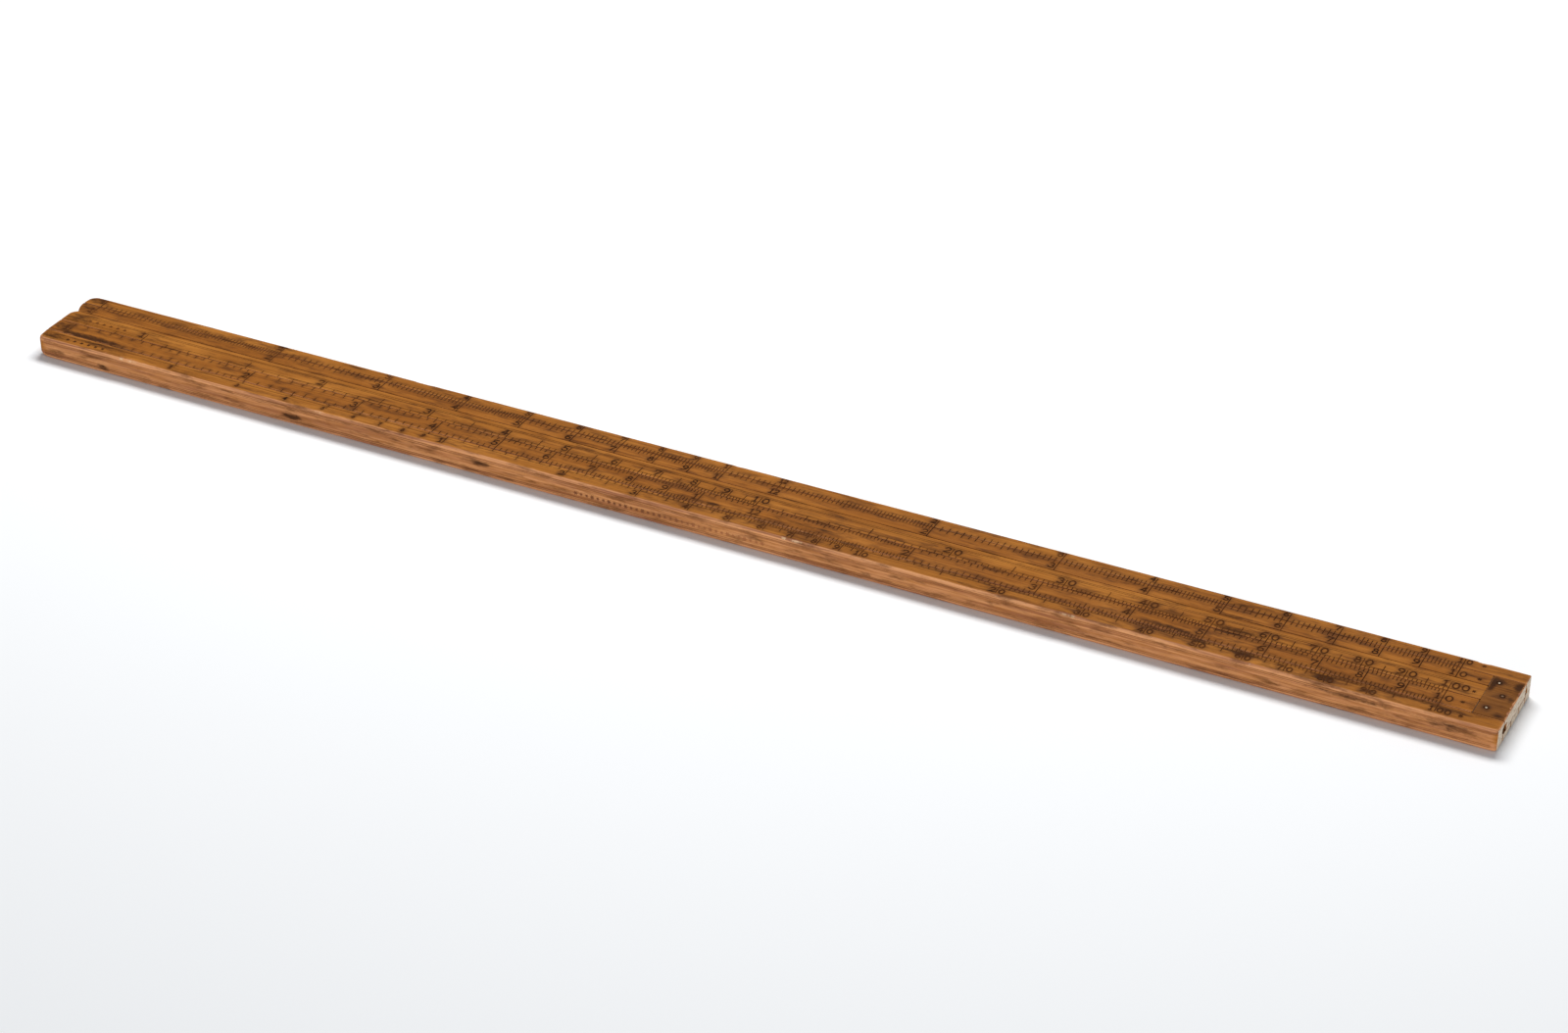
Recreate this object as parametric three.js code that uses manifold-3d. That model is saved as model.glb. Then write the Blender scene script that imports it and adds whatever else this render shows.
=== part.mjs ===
// A two-foot boxwood slide rule with two slides lying side by side in its top face.
//
// The stock is built up from three full-height rails with two thinner floor strips glued
// between them, which makes two grooves. Each groove holds one slide, kept down by tongues that
// run in channels in the sides of the rails. A pinned bridge block closes both grooves at the
// right-hand end, so the slides pull out to the left.
//
// Millimetres. X runs along the rule, Y from its front edge to its back edge, and Z is up.
// The origin is under the middle of the rule, on the surface that it lies on.

import * as THREE from 'three';
import { mergeVertices } from 'three/addons/utils/BufferGeometryUtils.js';
import Module from 'manifold-3d';

const wasm = await Module();
wasm.setup();

// Overall size: two feet long, and an inch and a half wide less wear and shrinkage.
const LENGTH = 609.6;
const WIDTH = 37.4;
const THICKNESS = 8.7;

// The strips across the width, from the front edge to the back edge.
const FRONT_RAIL_WIDTH = 6.7;
const WIDE_GROOVE_WIDTH = 9.0;
const CENTRE_RAIL_WIDTH = 8.8;
const NARROW_GROOVE_WIDTH = 7.0;
const BACK_RAIL_WIDTH = 5.9;

const FRONT_RAIL_Y = -WIDTH / 2;
const WIDE_GROOVE_Y = FRONT_RAIL_Y + FRONT_RAIL_WIDTH;
const CENTRE_RAIL_Y = WIDE_GROOVE_Y + WIDE_GROOVE_WIDTH;
const NARROW_GROOVE_Y = CENTRE_RAIL_Y + CENTRE_RAIL_WIDTH;
const BACK_RAIL_Y = NARROW_GROOVE_Y + NARROW_GROOVE_WIDTH;

// The floors of the grooves, glued between the rails.
const FLOOR_THICKNESS = 3.0;
const GLUE_LINE = 0.1;

// The channels in the rails, and the slides' tongues that run in them.
const RUNNING_GAP = 0.25;
const CHANNEL_LOW = 3.9;
const CHANNEL_HIGH = 6.3;
const CHANNEL_DEPTH = 1.3;
const TONGUE_LOW = CHANNEL_LOW + RUNNING_GAP;
const TONGUE_HIGH = CHANNEL_HIGH - RUNNING_GAP;
const TONGUE_REACH = CHANNEL_DEPTH - RUNNING_GAP;
const SLIDE_BOTTOM = FLOOR_THICKNESS + RUNNING_GAP;

// The left-hand end, worn round at the outer corners and into a notch beside the narrow slide.
const FRONT_CORNER_RADIUS = 2.2;
const BACK_CORNER_RADIUS = 3.0;
const NOTCH_DEPTH = 2.2;
const NOTCH_WIDTH_ON_RAIL = 3.5;

// The bridge block at the right-hand end, and the pins through it.
const BLOCK_LENGTH = 11.4;
const BLOCK_REBATE_WIDTH = 3.0;
const BLOCK_REBATE_HEIGHT = 3.5;
const PIN_RADIUS = 0.7;
const PIN_HOLE_RADIUS = 0.78;
const PIN_TIP_Z = 1.0;
const PIN_TAPER = 1.2;
const PIN_DOME = 0.12;
const PIN_HOLE_BOTTOM_Z = 0.7;
const PIN_SIDES = 20;
const PIN_PLACES = {
  narrow: { fromEnd: 8.6, y: NARROW_GROOVE_Y + 3.4 },
  centre: { fromEnd: 5.2, y: CENTRE_RAIL_Y + 5.0 },
  wide: { fromEnd: 8.1, y: WIDE_GROOVE_Y + 5.1 },
};

// How far a cutting shape stands past the solid that it cuts.
const OVERCUT = 1.0;
const CURVE_SEGMENTS = 10;

const railWood = () => new THREE.MeshStandardMaterial({ color: 0xb8722f, roughness: 0.55 });
const slideWood = () => new THREE.MeshStandardMaterial({ color: 0xa8602a, roughness: 0.5 });
const blockWood = () => new THREE.MeshStandardMaterial({ color: 0x84491f, roughness: 0.6 });
const pinSteel = () => new THREE.MeshStandardMaterial({ color: 0xb9b2a0, roughness: 0.35, metalness: 1.0 });

// ---- solids ----

function solidFrom(geometry) {
  const bare = geometry.clone();
  bare.deleteAttribute('normal');
  bare.deleteAttribute('uv');
  const merged = mergeVertices(bare);
  const vertProperties = Float32Array.from(merged.attributes.position.array);
  const triVerts = Uint32Array.from(merged.index.array);
  return new wasm.Manifold(new wasm.Mesh({ numProp: 3, vertProperties, triVerts }));
}

function geometryFrom(solid) {
  const mesh = solid.getMesh();
  const geometry = new THREE.BufferGeometry();
  geometry.setAttribute('position', new THREE.BufferAttribute(mesh.vertProperties, 3));
  geometry.setIndex(new THREE.BufferAttribute(mesh.triVerts, 1));
  geometry.computeVertexNormals();
  return geometry;
}

// A cross-section drawn in (y, z), run along X from 0 to length.
function alongRule(section, length) {
  const geometry = new THREE.ExtrudeGeometry(section, { depth: length, bevelEnabled: false });
  const toRule = new THREE.Matrix4().makeBasis(
    new THREE.Vector3(0, 1, 0),
    new THREE.Vector3(0, 0, 1),
    new THREE.Vector3(1, 0, 0),
  );
  geometry.applyMatrix4(toRule);
  return solidFrom(geometry);
}

// An outline drawn in (x, y), standing past the rule's underside and top.
function throughThickness(outline) {
  const geometry = new THREE.ExtrudeGeometry(outline, {
    depth: THICKNESS + 2 * OVERCUT,
    bevelEnabled: false,
    curveSegments: CURVE_SEGMENTS,
  });
  geometry.translate(0, 0, -OVERCUT);
  return solidFrom(geometry);
}

function boxBetween(low, high) {
  const size = high.clone().sub(low);
  const geometry = new THREE.BoxGeometry(size.x, size.y, size.z);
  const middle = low.clone().add(high).multiplyScalar(0.5);
  geometry.translate(middle.x, middle.y, middle.z);
  return solidFrom(geometry);
}

// ---- cross-sections, from the strip's front side at y = 0 ----

function railSection(width, channels) {
  const points = [[0, 0], [width, 0]];
  if (channels.back) {
    const inner = width - CHANNEL_DEPTH;
    points.push([width, CHANNEL_LOW], [inner, CHANNEL_LOW], [inner, CHANNEL_HIGH], [width, CHANNEL_HIGH]);
  }
  points.push([width, THICKNESS], [0, THICKNESS]);
  if (channels.front) {
    const inner = CHANNEL_DEPTH;
    points.push([0, CHANNEL_HIGH], [inner, CHANNEL_HIGH], [inner, CHANNEL_LOW], [0, CHANNEL_LOW]);
  }
  return new THREE.Shape(points.map(([y, z]) => new THREE.Vector2(y, z)));
}

function slideSection(grooveWidth) {
  const front = RUNNING_GAP;
  const back = grooveWidth - RUNNING_GAP;
  const frontTip = -TONGUE_REACH;
  const backTip = grooveWidth + TONGUE_REACH;
  const points = [
    [front, SLIDE_BOTTOM], [back, SLIDE_BOTTOM],
    [back, TONGUE_LOW], [backTip, TONGUE_LOW], [backTip, TONGUE_HIGH], [back, TONGUE_HIGH],
    [back, THICKNESS], [front, THICKNESS],
    [front, TONGUE_HIGH], [frontTip, TONGUE_HIGH], [frontTip, TONGUE_LOW], [front, TONGUE_LOW],
  ];
  return new THREE.Shape(points.map(([y, z]) => new THREE.Vector2(y, z)));
}

function floorSection(grooveWidth) {
  const front = GLUE_LINE;
  const back = grooveWidth - GLUE_LINE;
  const points = [[front, 0], [back, 0], [back, FLOOR_THICKNESS], [front, FLOOR_THICKNESS]];
  return new THREE.Shape(points.map(([y, z]) => new THREE.Vector2(y, z)));
}

// ---- plan outlines of the strips, which shape their left-hand ends ----

function frontRailPlan() {
  const radius = FRONT_CORNER_RADIUS;
  const outline = new THREE.Shape();
  outline.moveTo(radius, 0);
  outline.lineTo(LENGTH, 0);
  outline.lineTo(LENGTH, FRONT_RAIL_WIDTH);
  outline.lineTo(0, FRONT_RAIL_WIDTH);
  outline.lineTo(0, radius);
  outline.absarc(radius, radius, radius, Math.PI, 1.5 * Math.PI, false);
  return outline;
}

function backRailPlan() {
  const radius = BACK_CORNER_RADIUS;
  const outline = new THREE.Shape();
  outline.moveTo(0, 0);
  outline.lineTo(LENGTH, 0);
  outline.lineTo(LENGTH, BACK_RAIL_WIDTH);
  outline.lineTo(radius, BACK_RAIL_WIDTH);
  outline.absarc(radius, BACK_RAIL_WIDTH - radius, radius, 0.5 * Math.PI, Math.PI, false);
  outline.lineTo(0, 0);
  return outline;
}

// The rail's side of the notch.
function centreRailPlan() {
  const notchStart = CENTRE_RAIL_WIDTH - NOTCH_WIDTH_ON_RAIL;
  const notchMiddle = CENTRE_RAIL_WIDTH - NOTCH_WIDTH_ON_RAIL / 2;
  const outline = new THREE.Shape();
  outline.moveTo(0, 0);
  outline.lineTo(LENGTH, 0);
  outline.lineTo(LENGTH, CENTRE_RAIL_WIDTH);
  outline.lineTo(NOTCH_DEPTH, CENTRE_RAIL_WIDTH);
  outline.quadraticCurveTo(0, notchMiddle, 0, notchStart);
  outline.lineTo(0, 0);
  return outline;
}

// The narrow slide's side of the notch takes its whole width.
function narrowSlidePlan(slideLength) {
  const outline = new THREE.Shape();
  outline.moveTo(NOTCH_DEPTH, -CHANNEL_DEPTH);
  outline.lineTo(slideLength, -CHANNEL_DEPTH);
  outline.lineTo(slideLength, NARROW_GROOVE_WIDTH + CHANNEL_DEPTH);
  outline.lineTo(0, NARROW_GROOVE_WIDTH + CHANNEL_DEPTH);
  outline.lineTo(0, NARROW_GROOVE_WIDTH);
  outline.quadraticCurveTo(0, NARROW_GROOVE_WIDTH / 2, NOTCH_DEPTH, 0);
  outline.lineTo(NOTCH_DEPTH, -CHANNEL_DEPTH);
  return outline;
}

// ---- pins and their holes ----

function pinX(place) {
  return LENGTH / 2 - place.fromEnd;
}

// A headless brad: a pointed shank with a slightly domed, filed-off top.
function pinGeometry() {
  const profile = [
    new THREE.Vector2(0, 0),
    new THREE.Vector2(PIN_RADIUS, PIN_TAPER),
    new THREE.Vector2(PIN_RADIUS, THICKNESS - PIN_TIP_Z - PIN_DOME),
    new THREE.Vector2(PIN_RADIUS * 0.7, THICKNESS - PIN_TIP_Z - PIN_DOME * 0.3),
    new THREE.Vector2(0, THICKNESS - PIN_TIP_Z),
  ];
  const geometry = new THREE.LatheGeometry(profile, PIN_SIDES);
  geometry.rotateX(Math.PI / 2);
  return geometryFrom(solidFrom(geometry));
}

// The hole for a pin, in the frame of a solid that stands at origin.
function pinHole(place, origin) {
  const depth = THICKNESS + OVERCUT - PIN_HOLE_BOTTOM_Z;
  const geometry = new THREE.CylinderGeometry(PIN_HOLE_RADIUS, PIN_HOLE_RADIUS, depth, PIN_SIDES);
  geometry.rotateX(Math.PI / 2);
  geometry.translate(pinX(place) - origin.x, place.y - origin.y, PIN_HOLE_BOTTOM_Z + depth / 2 - origin.z);
  return solidFrom(geometry);
}

// ---- the pieces ----

function stripOrigin(y) {
  return new THREE.Vector3(-LENGTH / 2, y, 0);
}

function namedMesh(name, geometry, material, position) {
  const mesh = new THREE.Mesh(geometry, material);
  mesh.name = name;
  mesh.position.copy(position);
  return mesh;
}

function frontRail() {
  const solid = alongRule(railSection(FRONT_RAIL_WIDTH, { back: true }), LENGTH);
  const shaped = solid.intersect(throughThickness(frontRailPlan()));
  return namedMesh('front_rail', geometryFrom(shaped), railWood(), stripOrigin(FRONT_RAIL_Y));
}

function backRail() {
  const solid = alongRule(railSection(BACK_RAIL_WIDTH, { front: true }), LENGTH);
  const shaped = solid.intersect(throughThickness(backRailPlan()));
  return namedMesh('back_rail', geometryFrom(shaped), railWood(), stripOrigin(BACK_RAIL_Y));
}

// The centre rail is housed down to the floors' level where the bridge block crosses it.
function centreRail() {
  const origin = stripOrigin(CENTRE_RAIL_Y);
  const solid = alongRule(railSection(CENTRE_RAIL_WIDTH, { front: true, back: true }), LENGTH);
  const housing = boxBetween(
    new THREE.Vector3(LENGTH - BLOCK_LENGTH - GLUE_LINE, -OVERCUT, FLOOR_THICKNESS),
    new THREE.Vector3(LENGTH + OVERCUT, CENTRE_RAIL_WIDTH + OVERCUT, THICKNESS + OVERCUT),
  );
  const shaped = solid
    .intersect(throughThickness(centreRailPlan()))
    .subtract(housing)
    .subtract(pinHole(PIN_PLACES.centre, origin));
  return namedMesh('centre_rail', geometryFrom(shaped), railWood(), origin);
}

function grooveFloor(name, grooveWidth, grooveY, pinPlace) {
  const origin = stripOrigin(grooveY);
  const solid = alongRule(floorSection(grooveWidth), LENGTH).subtract(pinHole(pinPlace, origin));
  return namedMesh(name, geometryFrom(solid), railWood(), origin);
}

function bridgeBlock() {
  const origin = new THREE.Vector3(LENGTH / 2 - BLOCK_LENGTH, WIDE_GROOVE_Y + GLUE_LINE, FLOOR_THICKNESS + GLUE_LINE);
  const width = BACK_RAIL_Y - WIDE_GROOVE_Y - 2 * GLUE_LINE;
  const height = THICKNESS - origin.z;
  const block = boxBetween(new THREE.Vector3(0, 0, 0), new THREE.Vector3(BLOCK_LENGTH, width, height));
  const rebate = boxBetween(
    new THREE.Vector3(-OVERCUT, -OVERCUT, -OVERCUT),
    new THREE.Vector3(BLOCK_LENGTH + OVERCUT, BLOCK_REBATE_WIDTH, BLOCK_REBATE_HEIGHT),
  );
  let shaped = block.subtract(rebate);
  for (const place of Object.values(PIN_PLACES)) {
    shaped = shaped.subtract(pinHole(place, origin));
  }
  return namedMesh('bridge_block', geometryFrom(shaped), blockWood(), origin);
}

function pin(name, place) {
  const position = new THREE.Vector3(pinX(place), place.y, PIN_TIP_Z);
  return namedMesh(name, pinGeometry(), pinSteel(), position);
}

function slideLength() {
  return LENGTH - BLOCK_LENGTH - RUNNING_GAP;
}

function narrowSlide() {
  const solid = alongRule(slideSection(NARROW_GROOVE_WIDTH), slideLength());
  const shaped = solid.intersect(throughThickness(narrowSlidePlan(slideLength())));
  return namedMesh('narrow_slide', geometryFrom(shaped), slideWood(), stripOrigin(NARROW_GROOVE_Y));
}

function wideSlide() {
  const solid = alongRule(slideSection(WIDE_GROOVE_WIDTH), slideLength());
  return namedMesh('wide_slide', geometryFrom(solid), slideWood(), stripOrigin(WIDE_GROOVE_Y));
}

const stock = new THREE.Group();
stock.add(
  frontRail(),
  centreRail(),
  backRail(),
  grooveFloor('narrow_groove_floor', NARROW_GROOVE_WIDTH, NARROW_GROOVE_Y, PIN_PLACES.narrow),
  grooveFloor('wide_groove_floor', WIDE_GROOVE_WIDTH, WIDE_GROOVE_Y, PIN_PLACES.wide),
  bridgeBlock(),
  pin('narrow_side_pin', PIN_PLACES.narrow),
  pin('centre_pin', PIN_PLACES.centre),
  pin('wide_side_pin', PIN_PLACES.wide),
);

const slides = new THREE.Group();
slides.add(narrowSlide(), wideSlide());

const rule = new THREE.Group();
rule.add(stock, slides);

export default rule;
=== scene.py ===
# The looks of a two-foot boxwood slide rule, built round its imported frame.
#
# Every wooden strip of the frame is replaced by a finer mesh of the same size. Its sides are a
# stack of rings, and its faces are triangulated round the grooves that are cut in them, so that
# the ticks, numbers and lines are real V-shaped cuts. Lengths are in millimetres until a mesh is
# made. X runs along the rule from its middle, Y from its front edge to its back edge, Z up.

import math
import random

import bpy
import bmesh
import numpy as np
from mathutils import Euler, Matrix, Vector
from mathutils.geometry import delaunay_2d_cdt


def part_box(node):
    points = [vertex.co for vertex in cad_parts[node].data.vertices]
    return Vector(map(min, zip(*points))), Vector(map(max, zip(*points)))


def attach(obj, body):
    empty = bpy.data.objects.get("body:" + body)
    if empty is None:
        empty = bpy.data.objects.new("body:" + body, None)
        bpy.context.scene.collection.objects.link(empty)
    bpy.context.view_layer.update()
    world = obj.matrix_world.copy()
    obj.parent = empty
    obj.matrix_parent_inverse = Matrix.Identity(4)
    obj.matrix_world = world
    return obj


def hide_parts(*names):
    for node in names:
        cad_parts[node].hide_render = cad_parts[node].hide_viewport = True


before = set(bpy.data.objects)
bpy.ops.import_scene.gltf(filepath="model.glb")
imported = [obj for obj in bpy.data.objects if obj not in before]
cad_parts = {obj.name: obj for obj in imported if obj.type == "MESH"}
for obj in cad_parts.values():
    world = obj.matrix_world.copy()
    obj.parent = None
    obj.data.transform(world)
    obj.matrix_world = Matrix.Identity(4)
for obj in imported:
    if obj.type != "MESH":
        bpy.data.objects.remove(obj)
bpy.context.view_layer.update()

MM = 0.001


def mm_box(node):
    low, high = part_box(node)
    return np.array(low) / MM, np.array(high) / MM


# ---- sizes taken from the frame ----

FRONT_RAIL = mm_box("front_rail")
CENTRE_RAIL = mm_box("centre_rail")
BACK_RAIL = mm_box("back_rail")
BLOCK = mm_box("bridge_block")
NARROW_SLIDE = mm_box("narrow_slide")
WIDE_SLIDE = mm_box("wide_slide")
LEFT = FRONT_RAIL[0][0]
TOP = FRONT_RAIL[1][2]
FRONT = FRONT_RAIL[0][1]
BACK = BACK_RAIL[1][1]
WIDTH = BACK - FRONT

# ---- sizes that the frame's boxes don't give ----

# Each strip stays this far inside its box, so that rounding can't carry it out.
HAIR = 0.0005

RUNNING_GAP = 0.25
CHANNEL_LOW, CHANNEL_HIGH, CHANNEL_DEPTH = 3.9, 6.3, 1.3
TONGUE_LOW, TONGUE_HIGH = 4.15, 6.05
TONGUE_REACH = 1.3
HOUSING_LENGTH = 11.5
HOUSING_FLOOR = 3.0
REBATE_TOP, REBATE_WIDTH = 6.6, 3.0
PINS = ("narrow_side_pin", "centre_pin", "wide_side_pin")
FRONT_CORNER_RADIUS = 2.2
BACK_CORNER_RADIUS = 3.0
NOTCH_DEPTH = 2.2
NOTCH_ON_RAIL = 3.5
NOTCH_ON_SLIDE = 7.0

# ---- the scales ----

# The number 1 of every line stands this far from the left-hand end, and a tenfold step is one radius.
ONE_FROM_END = 8.3
RADIUS = 289.0
FULL_CASK = 100.0

# Chips in the front arris: the distance from the left-hand end, half the length and the depth.
FRONT_CHIPS = (
    (46, 3.0, 0.5), (41, 1.3, 0.7), (52, 1.0, 0.4), (135, 2.4, 0.45), (231, 1.2, 0.35), (343, 3.2, 0.6),
    (338, 1.2, 0.7), (349, 1.6, 0.4), (424, 1.6, 0.45), (450, 2.6, 0.55), (453, 1.0, 0.7), (520, 1.0, 0.3),
)

# ---- cuts ----

TICK_HALF_WIDTH, TICK_DEPTH = 0.17, 0.16
LINE_HALF_WIDTH, LINE_DEPTH = 0.09, 0.09
STROKE_HALF_WIDTH, STROKE_DEPTH = 0.25, 0.2
DIGIT_HEIGHT = 3.5
DIGIT_ASPECT = 0.78
# Where the digits of a number stand, from its mark to their middles. A 12 is set closer.
DIGIT_PLACES = {1: (-2.0,), 2: (-2.0, 2.25), 3: (-2.0, 1.95, 5.4)}
COMPACT_PLACES, COMPACT_ASPECT = (-1.2, 1.2), 0.6

# Soot from the punches and the ink: how far it lies thick beside a cut, and how far it spreads.
SOOT_NEAR, SOOT_FAR = 0.45, 1.5

# How far the outline's corners are cut off, and how sharp edges are rounded underneath.
CORNER_CUT = 0.35
UNDER_RADIUS = 0.3

# How high a strip's side reaches, below the rounding of its top edge and the deepest chips.
SIDE_TOP, BLOCK_SIDE_TOP, FLOOR_SIDE_TOP = 6.8, 7.2, 2.4

# The material slots of every strip.
WOOD, INK, END_GRAIN, SIDE_INK = 0, 1, 2, 3


def waver(x, y=0.0, seed=0.0):
    """A smooth, repeatable wander between about -1 and 1."""
    a = np.sin(x * 0.043 + 1.7 * seed) + 0.6 * np.sin(x * 0.117 + y * 0.31 + 2.3 * seed)
    b = 0.5 * np.sin(x * 0.371 - y * 0.53 + 0.9 * seed) + 0.3 * np.sin(x * 0.93 + y * 1.1 + 3.1 * seed)
    return (a + b) / 2.4


# ---- grooves ----


class Groove:
    """A V-shaped cut along path. Where it runs out over an edge, mouths names the side and the place.

    soot is how black the wood is beside the cut, and spread how dirty it is further out."""

    def __init__(self, path, half_width, depth, mouths=(), soot=0.0, spread=0.0):
        self.path = np.array(path, float)
        self.half_width = half_width
        self.depth = depth
        self.mouths = mouths
        self.soot = soot
        self.spread = spread


def distance_to_path(points, path):
    best = np.full(len(points), 1e9)
    for start, end in zip(path[:-1], path[1:]):
        along = end - start
        share = np.clip((points - start) @ along / max(along @ along, 1e-12), 0, 1)
        nearest = start + share[:, None] * along
        best = np.minimum(best, np.linalg.norm(points - nearest, axis=1))
    return best


def points_near(points, grooves, reach):
    """Each groove with the points that may lie within reach of its sides, and how far off they are."""
    order = np.argsort(points[:, 0])
    sorted_x = points[order, 0]
    for groove in grooves:
        low = groove.path[:, 0].min() - groove.half_width - reach
        high = groove.path[:, 0].max() + groove.half_width + reach
        first, last = np.searchsorted(sorted_x, [low, high])
        if first < last:
            near = order[first:last]
            yield groove, near, distance_to_path(points[near], groove.path)


def cut_depths(points, grooves):
    """How deep each point lies in the deepest groove over it."""
    depths = np.zeros(len(points))
    for groove, near, away in points_near(points, grooves, 0.0):
        depth = groove.depth * np.clip(1 - away / groove.half_width, 0, 1)
        depths[near] = np.maximum(depths[near], depth)
    return depths


def soot_at(points, grooves):
    """How sooty the wood is at each point: thick beside a cut and thin further out."""
    soot = np.zeros(len(points))
    for groove, near, away in points_near(points, grooves, 2 * SOOT_FAR):
        beside = np.clip(away - groove.half_width, 0, None)
        thick = groove.soot * np.clip(1 - beside / SOOT_NEAR, 0, 1)
        thin = groove.spread * np.exp(-((beside / SOOT_FAR) ** 2))
        soot[near] = np.maximum(soot[near], np.maximum(thick, thin))
    return soot


def soot_lanes(groove, low, high):
    """Points beside a groove that carry its soot's falling off, if they lie inside the box."""
    starts, ends = groove.path[:-1], groove.path[1:]
    middles = [starts + share * (ends - starts) for share in (0.3, 0.65, 1.0)]
    if len(groove.path) > 3:
        middles = [(starts + ends) / 2]
    steps = ends - starts
    steps = steps / np.linalg.norm(steps, axis=1)[:, None]
    across = np.stack([-steps[:, 1], steps[:, 0]], 1)
    points = []
    for middle in middles:
        for shift in (0.4, 1.0):
            offset = across * (groove.half_width + shift * SOOT_NEAR)
            points += list(middle + offset) + list(middle - offset)
    return [tuple(p) for p in points if np.all(p > low + 0.45) and np.all(p < high - 0.45)]


def path_normals(path):
    steps = np.diff(path, axis=0)
    steps /= np.linalg.norm(steps, axis=1)[:, None]
    joined = np.vstack([steps[:1], steps[:-1] + steps[1:], steps[-1:]])
    joined /= np.linalg.norm(joined, axis=1)[:, None]
    return np.stack([-joined[:, 1], joined[:, 0]], 1)


# ---- digits, drawn in a box of width 0.6 and height 1 ----


def arc(cx, cy, rx, ry, start, end, steps):
    angles = np.radians(np.linspace(start, end, steps + 1))
    return np.stack([cx + rx * np.cos(angles), cy + ry * np.sin(angles)], 1)


def oval(cx, cy, rx, ry, steps):
    """A closed oval in two halves."""
    return [arc(cx, cy, rx, ry, start, start + 180, steps) for start in (0, 180)]


def digit_strokes(digit):
    if digit == "0":
        return [arc(0.30, 0.5, 0.25, 0.45, 90, 270, 10), arc(0.30, 0.5, 0.25, 0.45, -90, 90, 10)]
    if digit == "1":
        return [[(0.34, 0.98), (0.34, 0.03)], [(0.33, 0.97), (0.17, 0.82)], [(0.2, 0.03), (0.48, 0.03)]]
    if digit == "2":
        neck = np.vstack([arc(0.29, 0.72, 0.22, 0.24, 165, -30, 10), [(0.3, 0.33), (0.08, 0.06)]])
        return [neck, [(0.08, 0.05), (0.54, 0.05)], [(0.54, 0.05), (0.56, 0.18)]]
    if digit == "3":
        return [arc(0.27, 0.74, 0.2, 0.21, 150, -80, 9), arc(0.26, 0.29, 0.25, 0.25, 80, -150, 10)]
    if digit == "4":
        return [[(0.42, 0.98), (0.04, 0.3)], [(0.04, 0.3), (0.57, 0.3)], [(0.42, 0.98), (0.42, 0.03)]]
    if digit == "5":
        bowl = arc(0.27, 0.32, 0.25, 0.28, 120, -150, 10)
        return [[(0.14, 0.95), (0.5, 0.95)], [(0.14, 0.95), (0.12, 0.56)], bowl]
    if digit == "6":
        stem = arc(0.52, 0.32, 0.47, 0.64, 95, 175, 7)
        return [stem] + oval(0.3, 0.28, 0.22, 0.25, 9)
    if digit == "7":
        stem = [(0.54, 0.93), (0.34, 0.45), (0.26, 0.03)]
        return [[(0.06, 0.93), (0.54, 0.93)], stem, [(0.06, 0.93), (0.05, 0.8)]]
    if digit == "8":
        return oval(0.3, 0.74, 0.17, 0.2, 8) + oval(0.3, 0.27, 0.23, 0.23, 9)
    return [np.array([0.6, 1.0]) - np.array(stroke) for stroke in digit_strokes("6")]


def punched(digit, x, y, height, rng, aspect=DIGIT_ASPECT):
    """The grooves of one digit round x, y, punched by hand and so never quite square."""
    tilt = math.radians(rng.uniform(-4, 4))
    turn = np.array([[math.cos(tilt), -math.sin(tilt)], [math.sin(tilt), math.cos(tilt)]])
    place = np.array([x, y]) + np.array([rng.uniform(-0.06, 0.06), rng.uniform(-0.1, 0.1)])
    weight = rng.uniform(0.85, 1.15)
    grooves = []
    for stroke in digit_strokes(digit):
        drawn = (np.array(stroke) - (0.3, 0.5)) * (aspect / 0.6, 1) @ turn.T * height + place
        grooves.append(Groove(drawn, STROKE_HALF_WIDTH * weight, STROKE_DEPTH * weight, (), 0.75, 0.38))
    return grooves


def number_grooves(text, x, y, height, rng):
    """A number beside its mark: one digit stands before the mark, and two or three straddle it."""
    places, aspect = DIGIT_PLACES[len(text)], DIGIT_ASPECT
    if text == "12":
        places, aspect = COMPACT_PLACES, COMPACT_ASPECT
    grooves = []
    for digit, place in zip(text, places):
        grooves += punched(digit, x + place * height / DIGIT_HEIGHT, y, height, rng, aspect)
    return grooves


def star(x, y, size, black=0.35):
    """A small punched star, as at the end of a scale."""
    grooves = []
    for angle in (0, 60, 120):
        reach = size * np.array([math.cos(math.radians(angle)), math.sin(math.radians(angle))])
        centre = np.array([x, y])
        path = [centre - reach, centre + reach]
        grooves.append(Groove(path, 0.28 * size, 0.25 * size * (0.5 + black), (), black, 0.4 * black))
    return grooves


def star_row(count, first, pitch, y, sizes, black):
    """A row of stars whose sizes repeat."""
    grooves = []
    for i in range(count):
        grooves += star(first + pitch * i, y, sizes[i % len(sizes)], black)
    return grooves


def ring_cut(x, y, radius):
    """The dirty gap round a pin."""
    return [Groove(half, 0.13, 0.2, (), 0.9, 0.5) for half in oval(x, y, radius, radius, 12)]


def long_line(y, start, end, seed):
    """A scratched line along the rule, which wanders a little."""
    xs = np.linspace(start, end, int((end - start) / 12) + 2)
    return Groove(np.stack([xs, y + 0.05 * waver(xs, seed=seed)], 1), LINE_HALF_WIDTH, LINE_DEPTH, (), 0.15)


# ---- the positions of the marks ----


def at_number(value):
    return LEFT + ONE_FROM_END + RADIUS * math.log10(value)


def standing_cask(wet):
    """The share of a standing cask that is full when that share of its height is wet."""
    end_area, bulge = 0.77, 1.38
    return end_area * wet + bulge * (wet**2 / 2 - wet**3 / 3)


def lying_cask(wet):
    """The same for a cask on its side: half-way between a drum's and a ball's."""
    rise = 1 - 2 * wet
    drum = (math.acos(rise) - 2 * rise * math.sqrt(max(wet - wet**2, 0))) / math.pi
    ball = 3 * wet**2 - 2 * wet**3
    return (drum + ball) / 2


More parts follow.
